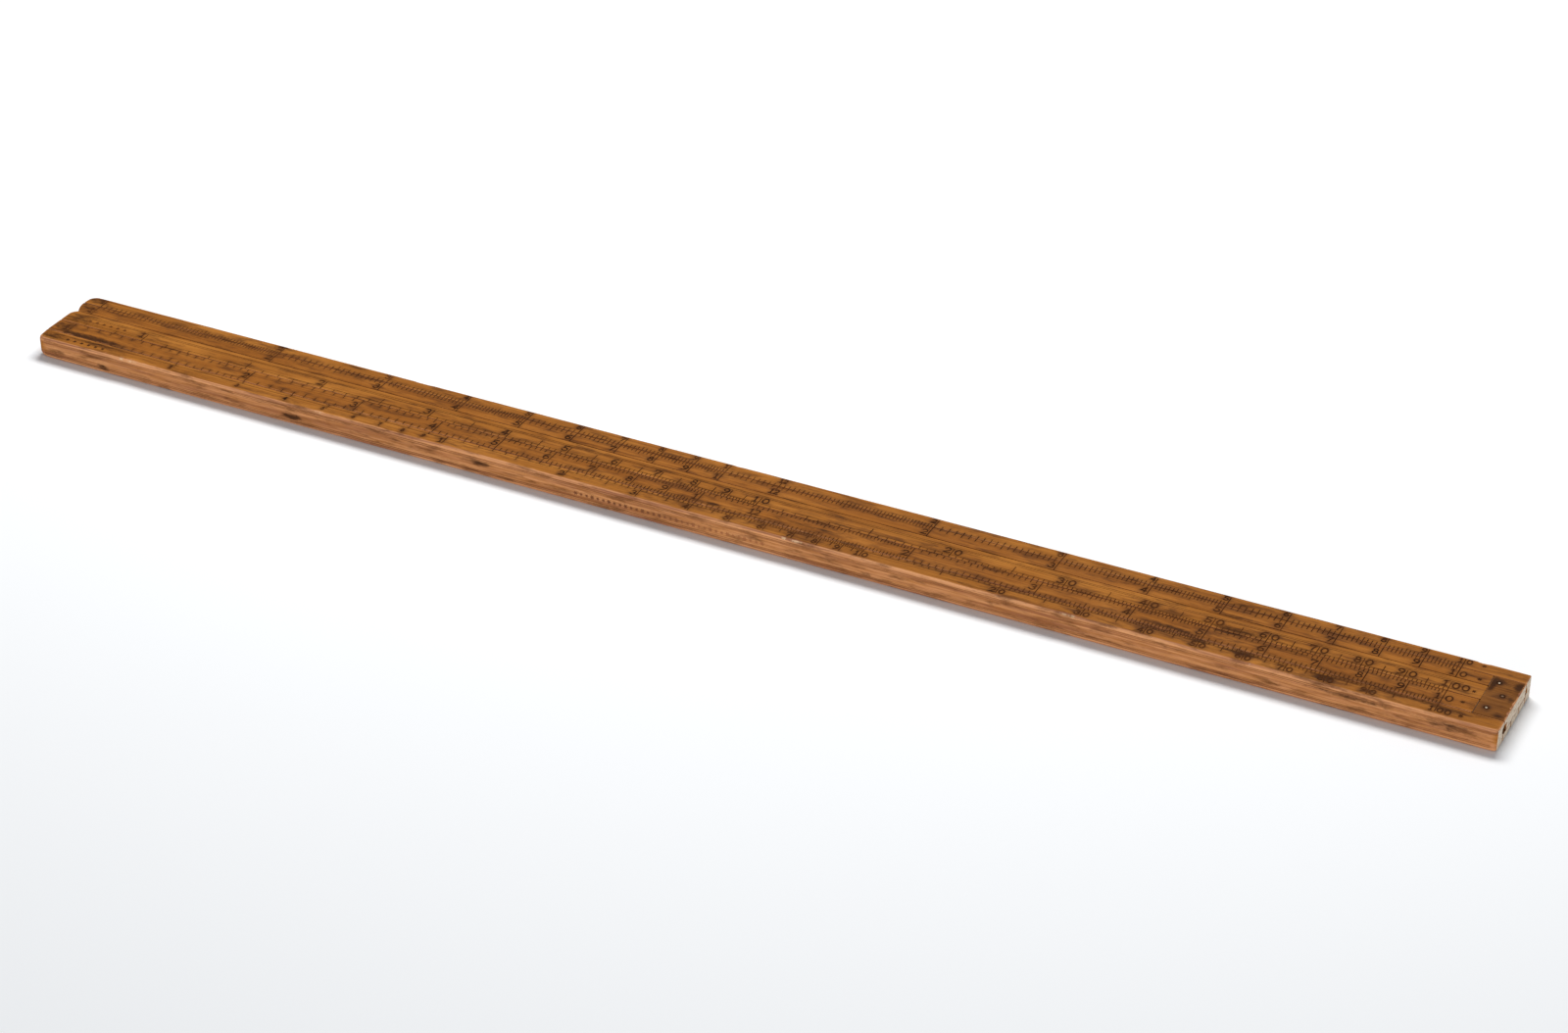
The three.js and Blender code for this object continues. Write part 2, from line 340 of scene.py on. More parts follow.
def at_share(percent, cask):
    """Where a cask scale has its mark for that many hundredths full."""
    low, high = 0.0, 1.0
    for _ in range(50):
        middle = (low + high) / 2
        if cask(middle) * FULL_CASK < percent:
            low = middle
        else:
            high = middle
    return at_number(max(FULL_CASK * high, 0.8))


def steps(bands):
    """Whole counts of the smallest step over bands of (start, end, step), the last end included."""
    values = []
    for start, end, step in bands:
        count = round((end - start) / step)
        values += [start + step * i for i in range(count)]
    return values + [bands[-1][1]]


def is_whole(value, unit):
    return abs(value / unit - round(value / unit)) < 1e-6


def unit_of(value):
    """What the numbers count at that place: ones up to ten, and tens after it."""
    return 1 if value < 10 - 1e-6 else 10


def rank_of(value):
    """How long a mark is: 3 for a number, 2 for a half, 1 for a tenth and 0 for the finest."""
    for rank, parts in ((3, 1), (2, 2), (1, 10)):
        if is_whole(value, unit_of(value) / parts):
            return rank
    return 0


def number_line(first_radius):
    """The marks of a double-radius number line: (x, rank, text)."""
    marks = []
    for value in steps(first_radius + [(10, 20, 0.2), (20, 50, 0.5), (50, 100, 1)]):
        rank = rank_of(value)
        text = str(round(value / unit_of(value))) if rank == 3 else ""
        if abs(value - 12) < 1e-6:
            rank, text = 2, "12"
        marks.append((at_number(value), rank, text))
    return marks


def cask_line(cask, lowest):
    """The marks of a cask scale, numbered 1 to 9 and then 10 to 100."""
    marks = []
    for value in steps([(lowest, 10, 0.1), (10, 50, 0.5), (50, 100, 1)]):
        rank = rank_of(value)
        text = str(round(value)) if rank == 3 else ""
        marks.append((at_share(value, cask), rank, text))
    return marks


FINE_FIRST_RADIUS = [(1, 2, 0.02), (2, 5, 0.05), (5, 10, 0.1)]
PLAIN_FIRST_RADIUS = [(1, 2, 0.05), (2, 10, 0.1)]


# ---- strips ----


class Strip:
    """One strip of wood: its plan, its levels and what is cut in it."""

    def __init__(self, name, body, slot, low, high, seed):
        self.name = name
        self.body = body
        self.slot = slot
        self.left, self.front, self.bottom = low + HAIR
        self.right, self.back, self.top = high - HAIR
        self.rng = random.Random(seed)
        self.seed = seed
        self.left_end = [
            (self.left + 0.1, self.back - 0.1), (self.left, self.back - 0.5),
            (self.left, (self.front + self.back) / 2),
            (self.left, self.front + 0.5), (self.left + 0.1, self.front + 0.1),
        ]
        self.ticks = {"front": [], "back": []}
        self.grooves = []
        self.side_panels = {}
        self.arris = {"front": 0.25, "back": 0.25, "left": 0.4, "right": 0.3}
        self.chips = {"front": [], "back": [], "right": []}
        self.right_corner = 0.1
        self.levels = []
        self.stains = []
        # How pale each top edge is drawn: rubbed wood, and also a painted highlight.
        self.worn_front = 0.0
        self.worn_back = 0.0
        self.worn_ends = (0.7, 0.8)
        self.worn_corners = []
        self.grime = 1.0
        self.fill_spacing = (1.5, 1.0)

    def tick(self, side, x, reach, weight=1.0):
        """A mark that runs in from one edge, or across the whole strip when reach is None."""
        half_width = TICK_HALF_WIDTH * weight * self.rng.uniform(0.85, 1.15)
        depth = TICK_DEPTH * weight * self.rng.uniform(0.8, 1.15)
        edge, inward = (self.front, 1) if side == "front" else (self.back, -1)
        x = round(x, 3)
        if reach is None:
            path = [(x, self.front - 1), (x, self.back + 1)]
            self.ticks["front"].append((x, half_width, depth))
            self.ticks["back"].append((x, half_width, depth))
            mouths = (("front", x), ("back", x))
        else:
            lean = self.rng.uniform(-0.04, 0.04)
            end = reach * self.rng.uniform(0.93, 1.07)
            path = [(x, edge - inward), (x + lean, edge + inward * end)]
            self.ticks[side].append((x, half_width, depth))
            mouths = ((side, x),)
        soot, spread = 0.5 * self.grime, 0.36 * self.grime
        self.grooves.append(Groove(path, half_width, depth, mouths, soot, spread))


def side_samples(strip, side, low, high):
    """The x of every rim vertex on a side: three for each tick, and a few on the plain stretches."""
    places = []
    for x, half_width, _ in strip.ticks[side]:
        places += [x - half_width, x, x + half_width]
    fixed = np.array(sorted(places)) if places else np.zeros(0)
    for centre, half_length, _ in strip.chips[side]:
        places += list(np.arange(centre - half_length, centre + half_length, 0.35))
    spread = np.linspace(low, high, int((high - low) / 1.6) + 2)
    places += list(spread)
    kept = []
    for x in sorted(places):
        is_fixed = len(fixed) and np.abs(fixed - x).min() < 1e-9
        if not is_fixed and len(fixed) and np.abs(fixed - x).min() < 0.12:
            continue
        if kept and x - kept[-1] < 0.12 and not is_fixed:
            continue
        kept.append(x)
    return [x for x in kept if low <= x <= high]


def right_end(strip):
    """Points up the right-hand end, from the front corner to the back corner."""
    cut = CORNER_CUT
    x, front, back = strip.right, strip.front, strip.back
    corner = [(x - 0.1, front + 0.1)]
    if strip.right_corner > cut:
        radius = strip.right_corner
        corner = [tuple(p) for p in arc(x - radius, front + radius, radius, radius, -75, -5, 6)]
        front += radius - cut
    count = max(int((back - front) / 0.5), 2)
    middle = [(x, y) for y in np.linspace(front + cut, back - cut, count)]
    return corner + middle + [(x - 0.1, back - 0.1)]


def perimeter(strip):
    """The strip's outline as points, anticlockwise, and a side name for each."""
    left_end = strip.left_end
    front_right = strip.right - max(CORNER_CUT, strip.right_corner)
    front_x = side_samples(strip, "front", left_end[-1][0] + CORNER_CUT, front_right)
    back_x = side_samples(strip, "back", left_end[0][0] + CORNER_CUT, strip.right - CORNER_CUT)
    points, sides = [], []
    for side, stretch in (
        ("front", [(x, strip.front) for x in front_x]),
        ("right", right_end(strip)),
        ("back", [(x, strip.back) for x in reversed(back_x)]),
        ("left", left_end),
    ):
        points += stretch
        sides += [side] * len(stretch)
    return np.array(points), sides


def outward_normals(points):
    before = points - np.roll(points, 1, 0)
    after = np.roll(points, -1, 0) - points
    before /= np.linalg.norm(before, axis=1)[:, None]
    after /= np.linalg.norm(after, axis=1)[:, None]
    n0 = np.stack([before[:, 1], -before[:, 0]], 1)
    n1 = np.stack([after[:, 1], -after[:, 0]], 1)
    return (n0 + n1) / (1 + (n0 * n1).sum(1))[:, None]


def arris_radii(strip, points, sides):
    """The rounding of the top edge at each point, and how deep a chip is knocked out of it there."""
    radii = np.zeros(len(points))
    chipped = np.zeros(len(points))
    rng = random.Random(strip.seed + 7)
    corners = np.array([corner_wear(strip, point) for point in points])
    for i, side in enumerate(sides):
        if side == "left":
            radii[i] = strip.arris[side]
            continue
        along = points[i][1] if side == "right" else points[i][0]
        radii[i] = strip.arris[side] * (1 + 0.25 * waver(along, seed=strip.seed))
        for centre, half_length, depth in strip.chips[side]:
            inside = 1 - ((along - centre) / half_length) ** 2
            if inside > 0:
                chipped[i] = max(chipped[i], depth * math.sqrt(inside) * rng.uniform(0.6, 1.0))
    return radii + chipped + 0.7 * corners, chipped


def corner_wear(strip, point):
    """How far the strip's worn corners are rounded at a point of its outline."""
    wear = 0.0
    for corner, most, reach in strip.worn_corners:
        wear += most * math.exp(-((math.dist(point, corner) / reach) ** 2))
    return wear


class Skin:
    """A mesh in the making, with wear (which also carries painted highlights and painted light), stain and
    soot at each vertex.
    """

    def __init__(self):
        self.points = []
        self.wear = []
        self.stain = []
        self.soot = []
        self.faces = []
        self.slots = []

    def add_points(self, points, wear, stain, soot):
        first = len(self.points)
        self.points += [tuple(p) for p in points]
        self.wear += list(wear)
        self.stain += list(stain)
        self.soot += list(soot)
        return list(range(first, len(self.points)))

    def add_face(self, corners, slot=WOOD):
        self.faces.append(tuple(corners))
        self.slots.append(slot)

    def make(self, name, materials):
        mesh = bpy.data.meshes.new(name)
        mesh.from_pydata([Vector(p) * MM for p in self.points], [], self.faces)
        mesh.polygons.foreach_set("material_index", self.slots)
        for label, values in (("wear", self.wear), ("stain", self.stain), ("soot", self.soot)):
            attribute = mesh.attributes.new(label, "FLOAT", "POINT")
            attribute.data.foreach_set("value", np.array(values, np.float32))
        for material in materials:
            mesh.materials.append(material)
        clean(mesh)
        mesh.shade_smooth()
        mesh.set_sharp_from_angle(angle=math.radians(26))
        made = bpy.data.objects.new(name, mesh)
        bpy.context.scene.collection.objects.link(made)
        return made


def clean(mesh):
    """Drops vertices that no face uses and faces of no area."""
    work = bmesh.new()
    work.from_mesh(mesh)
    loose = [v for v in work.verts if not v.link_faces]
    bmesh.ops.delete(work, geom=loose, context="VERTS")
    bmesh.ops.dissolve_degenerate(work, dist=1e-6, edges=work.edges)
    work.to_mesh(mesh)
    work.free()


def stain_at(stains, points):
    """How stained the wood is at each point, from 0 to 1, under soft-edged oval stains."""
    amount = np.zeros(len(points))
    for x, y, reach_x, reach_y, strength in stains:
        away = ((points[:, 0] - x) / reach_x) ** 2 + ((points[:, 1] - y) / reach_y) ** 2
        amount = np.maximum(amount, strength * np.exp(-away))
    return amount


def groove_outline(groove, rim_index, points, edges):
    """Adds a groove's outline and middle line to the triangulation. rim_index finds rim vertices."""
    path = groove.path
    across = path_normals(path) * groove.half_width
    middle, left, right = list(path), list(path + across), list(path - across)
    lanes = []
    for lane, shift in ((left, 1), (middle, 0), (right, -1)):
        chain = []
        for i, point in enumerate(lane):
            is_mouth_end = (i == 0 and groove.mouths) or (i == len(lane) - 1 and len(groove.mouths) == 2)
            if is_mouth_end:
                side, x = groove.mouths[0 if i == 0 else 1]
                # The lanes' left and right swap when a tick is cut from the back edge.
                sign = -shift if path[-1][1] > path[0][1] else shift
                chain.append(rim_index[side, x, sign])
            else:
                chain.append(len(points))
                points.append(tuple(point))
        edges += list(zip(chain[:-1], chain[1:]))
        lanes.append(chain)
    left, middle, right = lanes
    if not groove.mouths:
        tip = path[0] - (path[1] - path[0]) / np.linalg.norm(path[1] - path[0]) * groove.half_width
        edges += [(left[0], len(points)), (len(points), right[0])]
        points.append(tuple(tip))
    if len(groove.mouths) < 2:
        tip = path[-1] + (path[-1] - path[-2]) / np.linalg.norm(path[-1] - path[-2]) * groove.half_width
        edges += [(left[-1], len(points)), (len(points), right[-1])]
        points.append(tuple(tip))


def inside_rim(points, rim):
    """Whether each point is inside the rim, by counting the rim's edges to one side of it."""
    inside = np.zeros(len(points), bool)
    for a, b in zip(rim, np.roll(rim, -1, 0)):
        if a[1] != b[1]:
            level = (a[1] > points[:, 1]) != (b[1] > points[:, 1])
            crossing = a[0] + (points[:, 1] - a[1]) * (b[0] - a[0]) / (b[1] - a[1])
            inside ^= level & (points[:, 0] < crossing)
    return inside


def fill_points(rim, spacing, rng):
    """A jittered grid of points over the rim's box."""
    low, high = rim.min(0), rim.max(0)
    rows = max(int((high[1] - low[1]) / spacing[1]), 2)
    columns = max(int((high[0] - low[0]) / spacing[0]), 2)
    points = []
    for i in range(1, columns):
        for j in range(1, rows):
            x = low[0] + (i + rng.uniform(-0.3, 0.3)) * (high[0] - low[0]) / columns
            y = low[1] + (j + rng.uniform(-0.25, 0.25)) * (high[1] - low[1]) / rows
            points.append((x, y))
    return points


def turn_of(a, b, c):
    """Positive when a, b and c go round anticlockwise."""
    return (b[0] - a[0]) * (c[1] - a[1]) - (b[1] - a[1]) * (c[0] - a[0])


def lies_outside(places, flat, triangle, rim_turn):
    """Whether a triangle of rim vertices lies in a hollow of the rim rather than inside it."""
    if min(places[k] for k in triangle) < 0:
        return False
    ordered = sorted(triangle, key=lambda k: places[k])
    return turn_of(*(flat[k] for k in ordered)) * rim_turn < 0


def panel(skin, rim, rim_flat, grooves, rim_index, lift, look, spacing, rng, flipped=False, ink=INK):
    """Fills a rim of vertices with a face that grooves are cut in.

    rim holds the vertices' indices and rim_flat their places in the face's own plane. lift turns
    places and depths into points in space, and look gives wear and stain at each place."""
    points = [tuple(p) for p in rim_flat]
    count = len(points)
    edges = [(i, (i + 1) % count) for i in range(count)]
    low, high = rim_flat.min(0), rim_flat.max(0)
    loose = fill_points(rim_flat, spacing, rng)
    for groove in grooves:
        groove_outline(groove, rim_index, points, edges)
        loose += soot_lanes(groove, low, high)
    loose = np.array(loose)
    points += [tuple(p) for p in loose[inside_rim(loose, rim_flat)]]
    after = np.roll(rim_flat, -1, 0)
    rim_turn = (rim_flat[:, 0] * after[:, 1] - rim_flat[:, 1] * after[:, 0]).sum()
    result = delaunay_2d_cdt([Vector(p) for p in points], edges, [], 1, 1e-5, True)
    flat = np.array([tuple(v) for v in result[0]])
    triangles, origins = result[2], result[3]
    depths = cut_depths(flat, grooves)
    numbers = [None] * len(flat)
    places = [-1] * len(flat)
    for i, sources in enumerate(origins):
        on_rim = [s for s in sources if s < count]
        if on_rim:
            numbers[i] = rim[on_rim[0]]
            places[i] = on_rim[0]
    inside = [i for i, n in enumerate(numbers) if n is None]
    wear, stain = look(flat[inside])
    soot = soot_at(flat[inside], grooves)
    fresh = skin.add_points(lift(flat[inside], depths[inside]), wear, stain, soot)
    for i, n in zip(inside, fresh):
        numbers[i] = n
    centres = np.array([flat[list(t)].mean(0) for t in triangles])
    cut = cut_depths(centres, grooves) > 1e-4
    for triangle, is_cut in zip(triangles, cut):
        if lies_outside(places, flat, triangle, rim_turn):
            continue
        corners = [numbers[k] for k in triangle]
        if (turn_of(*(flat[k] for k in triangle)) < 0) != flipped:
            corners.reverse()
        skin.add_face(corners, ink if is_cut else WOOD)


def top_height(strip, points):
    return strip.top - 0.025 + 0.02 * waver(points[:, 0], points[:, 1], strip.seed)


def shifted(strip, points, level):
    """The outline at a level where the sides step in or out and the right-hand end may reach on."""
    front_shift, back_shift, end_shift = level[1:]
    moved = points.copy()
    near_front = np.clip(1 - (points[:, 1] - strip.front) / max(1.6, 2 * abs(front_shift)), 0, 1)
    near_back = np.clip(1 - (strip.back - points[:, 1]) / max(1.6, 2 * abs(back_shift)), 0, 1)
    moved[:, 1] += -front_shift * near_front + back_shift * near_back
    moved[:, 0] += end_shift * (points[:, 0] > strip.right - 0.34)
    return moved


def build_strip(strip, materials):
    skin = Skin()
    outline, sides = perimeter(strip)
    normals = outward_normals(outline)
    radii, chipped = arris_radii(strip, outline, sides)
    cuts = np.zeros(len(outline))
    rim_index = {}
    for side in ("front", "back"):
        where = {round(outline[i][0], 6): i for i in range(len(outline)) if sides[i] == side}
        for x, half_width, depth in strip.ticks[side]:
            cuts[where[round(x, 6)]] = depth
            for sign in (-1, 0, 1):
                rim_index[side, x, sign] = where[round(x + sign * half_width, 6)]
    worn = {"front": strip.worn_front, "back": strip.worn_back}
    worn["left"], worn["right"] = strip.worn_ends
    side_wear_and_painted_light = np.array([worn[s] for s in sides])
    is_end = normals[:, 0] > 0.8
    rings = []
    for step, keep in ((0, 1.0), (1, 1.0), (2, 0.9), (3, 0.7)):
        angle = math.radians(30 * step)
        inset = radii * (1 - math.sin(angle)) + cuts * keep * math.sin(angle)
        flat = outline - normals * inset[:, None]
        drop = radii * (1 - math.cos(angle)) + cuts * keep * math.cos(angle)
        z = top_height(strip, flat) - drop
        # Paler top edges: rubbed wood and a painted highlight.
        arris_wear_and_highlight = side_wear_and_painted_light * (0.45, 1.0, 1.0, 0.9)[step] + chipped * math.sin(2 * angle)
        stain = stain_at(strip.stains, flat) * (1 - 0.25 * step)
        soot = np.maximum(soot_at(flat, strip.grooves) * (1 - 0.3 * step), cuts > 0)
        rings.append(skin.add_points(np.column_stack([flat, z]), arris_wear_and_highlight, stain, soot))
    none = np.zeros(len(outline))
    for level in strip.levels:
        flat = shifted(strip, outline, level)
        z = np.full(len(flat), level[0])
        rings.append(skin.add_points(np.column_stack([flat, z]), side_wear_and_painted_light * 0.4, none, none))
    under = np.array([UNDER_RADIUS + corner_wear(strip, point) for point in outline])
    last = shifted(strip, outline, strip.levels[-1])
    for angle in (0, 45, 90):
        inset = under * (1 - math.cos(math.radians(angle)))
        flat = last - normals * inset[:, None]
        z = strip.bottom + under * (1 - math.sin(math.radians(angle)))
        rings.append(skin.add_points(np.column_stack([flat, z]), side_wear_and_painted_light, none, none))
    join_rings(skin, strip, rings, sides, is_end)

    rim = rings[0]
    rim_flat = np.array([skin.points[i][:2] for i in rim])
    panel(
        skin, rim, rim_flat, strip.grooves, rim_index,
        lambda flat, depth: np.column_stack([flat, top_height(strip, flat) - depth]),
        lambda flat: (np.zeros(len(flat)), stain_at(strip.stains, flat)),
        strip.fill_spacing, random.Random(strip.seed + 1),
    )
    rim = rings[-1]
    rim_flat = np.array([skin.points[i][:2] for i in rim])
    panel(
        skin, rim, rim_flat, [], {},
        lambda flat, depth: np.column_stack([flat, strip.bottom + depth]),
        lambda flat: (np.full(len(flat), 0.2), np.zeros(len(flat))),
        (3.0, 2.0), random.Random(strip.seed + 2), flipped=True,
    )
    for side in strip.side_panels:
        side_panel(skin, strip, side, rings, sides)
    return skin.make(strip.name, materials)


def join_rings(skin, strip, rings, sides, is_end):
    """Quads between the rings, leaving out the stretches that a side panel fills."""
    count = len(sides)
    first_level = 3
    for upper, (ring, below) in enumerate(zip(rings[:-1], rings[1:])):
        in_panel = first_level <= upper < len(rings) - 3
        for i in range(count):
            j = (i + 1) % count
            if in_panel and sides[i] == sides[j] and sides[i] in strip.side_panels:
                continue
            slot = END_GRAIN if is_end[i] and is_end[j] and upper >= first_level - 1 else WOOD
            skin.add_face((ring[i], below[i], below[j], ring[j]), slot)


def side_panel(skin, strip, side, rings, sides):
    """A long side as one face, with the lines and punch marks cut in it."""
    columns = [i for i, s in enumerate(sides) if s == side]
    stack = rings[3:-2]
    upper, lower = stack[0], stack[-1]
    rim = [lower[i] for i in columns]
    rim += [ring[columns[-1]] for ring in reversed(stack[1:-1])]
    rim += [upper[i] for i in reversed(columns)]
    rim += [ring[columns[0]] for ring in stack[1:-1]]
    rim_flat = np.array([(skin.points[i][0], skin.points[i][2]) for i in rim])
    grooves, stains, wear = strip.side_panels[side]
    face_y, inward = (strip.front, 1) if side == "front" else (strip.back, -1)

    def lift(flat, depth):
        bow = 0.02 + 0.015 * waver(flat[:, 0], flat[:, 1], strip.seed + 3)
        low, high = rim_flat[:, 1].min(), rim_flat[:, 1].max()
        fade = np.clip(np.minimum(flat[:, 1] - low, high - flat[:, 1]), 0, 1)
        y = face_y + inward * (depth + bow * fade)
        return np.column_stack([flat[:, 0], y, flat[:, 1]])

    # The face's wear makes it paler; on the front face this is also painted light.
    panel(
        skin, rim, rim_flat, grooves, {}, lift,
        lambda flat: (np.full(len(flat), wear), stain_at(stains, flat)),
        (1.5, 0.8), random.Random(strip.seed + 4), flipped=side == "back", ink=SIDE_INK,
    )


# ---- what each strip is like ----


def from_left(distance):
    return LEFT + distance


def across(share):
    """A place across the rule, from 0 at the front edge to 1 at the back edge."""
    return FRONT + share * WIDTH


def top_stains(*stains):
    """Oval stains on the top face: (distance from the left, share across, two reaches, strength)."""
    return [(from_left(place), across(share), *rest) for place, share, *rest in stains]


def side_stains(*stains):
    """Oval stains on a side face: (distance from the left, height, two reaches, strength)."""
    return [(from_left(place), *rest) for place, *rest in stains]


def quarter_arc(cx, cy, radius, start, end):
    return [tuple(p) for p in arc(cx, cy, radius, radius, start, end, 7)]


def cut_number_line(strip, marks, side, reaches, y, height, with_numbers=True):
    """Ticks from one edge, with the numbered ones right across, and the numbers beside them."""
    for x, rank, text in marks:
        reach = reaches[rank]
        strip.tick(side, x, reach, 1.15 if rank == 3 else 1.0)
        if text and with_numbers:
            strip.grooves += number_grooves(text, x, y, height, strip.rng)


def side_levels(low, high, ease, front_step, back_step):
    """The levels of a strip's sides that step out, or in when the step is negative, from low to high."""
    return [
        (SIDE_TOP, 0, 0, 0),
        (high, 0, 0, 0),
        (high - ease, front_step, back_step, 0),
        (low + ease, front_step, back_step, 0),
        (low, 0, 0, 0),
    ]


def channel_levels(front, back):
    """The levels of a rail's sides past the channels that are ploughed in them."""
    front_step, back_step = (-CHANNEL_DEPTH if has else 0 for has in (front, back))
    return side_levels(CHANNEL_LOW, CHANNEL_HIGH, 0.05, front_step, back_step)


def slide_levels():
    return side_levels(TONGUE_LOW, TONGUE_HIGH, 0.06, TONGUE_REACH, TONGUE_REACH)


def slide_box(box, rail_in_front, rail_behind):
    """A slide's box without its tongues: what the rails on both sides leave, less the running gaps."""
    low, high = box[0].copy(), box[1].copy()
    low[1] = rail_in_front[1][1] + RUNNING_GAP
    high[1] = rail_behind[0][1] - RUNNING_GAP
    return low, high


def front_rail():
    strip = Strip("front_rail_wood", "stock", "boxwood_rail", *FRONT_RAIL, seed=11)
    radius = FRONT_CORNER_RADIUS
    corner = quarter_arc(strip.left + radius, strip.front + radius, radius, 180, 270)
    strip.left_end = strip.left_end[:2] + corner
    strip.arris = {"front": 0.6, "back": 0.28, "left": 0.45, "right": 0.4}
    strip.right_corner = 1.1
    strip.worn_corners = [((strip.left, strip.front), 1.6, 3.0), ((strip.right, strip.front), 0.5, 2.2)]
    for place, half_length, depth in FRONT_CHIPS:
        strip.chips["front"].append((from_left(place), half_length, depth))
    strip.worn_front, strip.worn_back = 1.0, 0.62
    strip.levels = channel_levels(False, True)
    marks = cask_line(lying_cask, 0.2)
    cut_number_line(strip, marks, "back", (1.0, 1.45, 3.2, 5.2), across(0.083), 2.85)
    for tenth in range(2, 10):
        x = at_share(tenth / 10, lying_cask)
        strip.grooves += punched(str(tenth), x - 1.1, across(0.085), 2.0, strip.rng, 0.62)
    strip.grooves.append(long_line(across(0.136), strip.left + 3, strip.right - 22, 1))
    strip.grooves += star(at_number(100) + 9, across(0.08), 0.8)
    strip.grooves += star_row(6, from_left(13), 3.4, across(0.08), (0.7,), 0.1)
    strip.stains = top_stains(
        (357, 0.2, 26, 1.6, 0.7), (515, 0.13, 9, 2.2, 0.95), (500, 0.15, 5, 2.0, 0.8),
        (546, 0.10, 7, 2.4, 1.0), (562, 0.08, 4, 1.8, 0.85), (590, 0.12, 14, 2.2, 0.7),
        (6, 0.08, 9, 4.0, 0.75), (26, 0.13, 16, 1.6, 0.8), (60, 0.12, 20, 1.2, 0.5),
        (483, 0.17, 7, 1.8, 0.9), (420, 0.17, 22, 1.2, 0.5), (575, 0.16, 16, 1.4, 0.8),
        (535, 0.162, 55, 1.0, 0.6), (250, 0.1, 40, 2.0, 0.32), (535, 0.1, 60, 2.4, 0.4),
    )
    side_grooves = [
        long_line(height, strip.left + 3, strip.right - 2.5, seed)
        for seed, height in enumerate((TOP - 1.5, TOP - 2.2, 1.9, 1.2), 2)
    ]
    side_grooves += star_row(34, from_left(250), 2.4, 3.6, (0.75, 0.55, 0.55), 0.15)
    stains_on_side = side_stains(
        (31, 2.0, 2.6, 1.6, 1.2), (122, 3.1, 5.5, 1.3, 1.2), (93, 1.6, 2.5, 0.8, 0.6),
        (92, 6.8, 2.0, 0.8, 0.6), (208, 5.2, 6.0, 1.3, 1.0), (266, 1.4, 4.0, 1.2, 0.6),
        (364, 6.9, 3.0, 1.2, 0.6), (371, 2.6, 4.0, 1.4, 0.7), (447, 2.2, 5.0, 1.6, 0.6),
        (516, 6.5, 1.6, 1.0, 0.9), (560, 6.2, 24, 1.3, 0.75), (592, 5.2, 14, 2.6, 0.7),
    )
    # The front face is drawn as pale rubbed wood: partly its own colour, partly painted light in place of a
    # stronger lamp from the front.
    strip.side_panels["front"] = (side_grooves, stains_on_side, 0.55)
    return strip


def back_rail():
    strip = Strip("back_rail_wood", "stock", "boxwood_rail", *BACK_RAIL, seed=23)
    radius = BACK_CORNER_RADIUS
    corner = quarter_arc(strip.left + radius, strip.back - radius, radius, 90, 180)
    strip.left_end = corner + strip.left_end[3:]
    strip.arris = {"front": 0.26, "back": 0.35, "left": 0.4, "right": 0.4}
    strip.worn_corners = [((strip.left, strip.back), 1.0, 3.0)]
    strip.chips["back"] = [
        (from_left(160), 4.0, 0.45), (from_left(592.5), 2.2, 0.5), (from_left(300), 1.5, 0.3),
    ]
    strip.worn_front, strip.worn_back = 0.5, 0.5
    strip.levels = channel_levels(True, False)
    marks = number_line(FINE_FIRST_RADIUS)
    cut_number_line(strip, marks, "front", (1.3, 1.5, 2.1, 5.0), across(0.943), 2.6)
    strip.grooves += star(at_number(100) + 7, across(0.943), 0.7)
    strip.stains = top_stains(
        (95, 0.97, 7, 1.6, 0.8), (180, 0.97, 5, 1.4, 0.6), (505, 0.9, 5, 2.0, 0.7),
        (560, 0.96, 10, 1.6, 0.5), (603, 0.93, 7, 3.0, 0.5), (300, 0.97, 12, 1.0, 0.5),
        (4, 0.93, 8, 3.5, 0.65), (130, 0.96, 9, 1.8, 0.7), (235, 0.97, 8, 1.4, 0.6),
        (450, 0.95, 10, 1.4, 0.5),
    )
    side_grooves = [
        long_line(TOP - 1.5, strip.left + 4, strip.right - 1, 6),
        long_line(1.6, strip.left + 4, strip.right - 1, 7),
    ]
    stains_on_side = side_stains(
        (80, 4.0, 9, 1.6, 0.7), (250, 2.5, 14, 1.2, 0.6), (410, 6.0, 5, 1.4, 0.8),
        (540, 3.2, 18, 1.6, 0.6),
    )
    strip.side_panels["back"] = (side_grooves, stains_on_side, 0.35)
    return strip


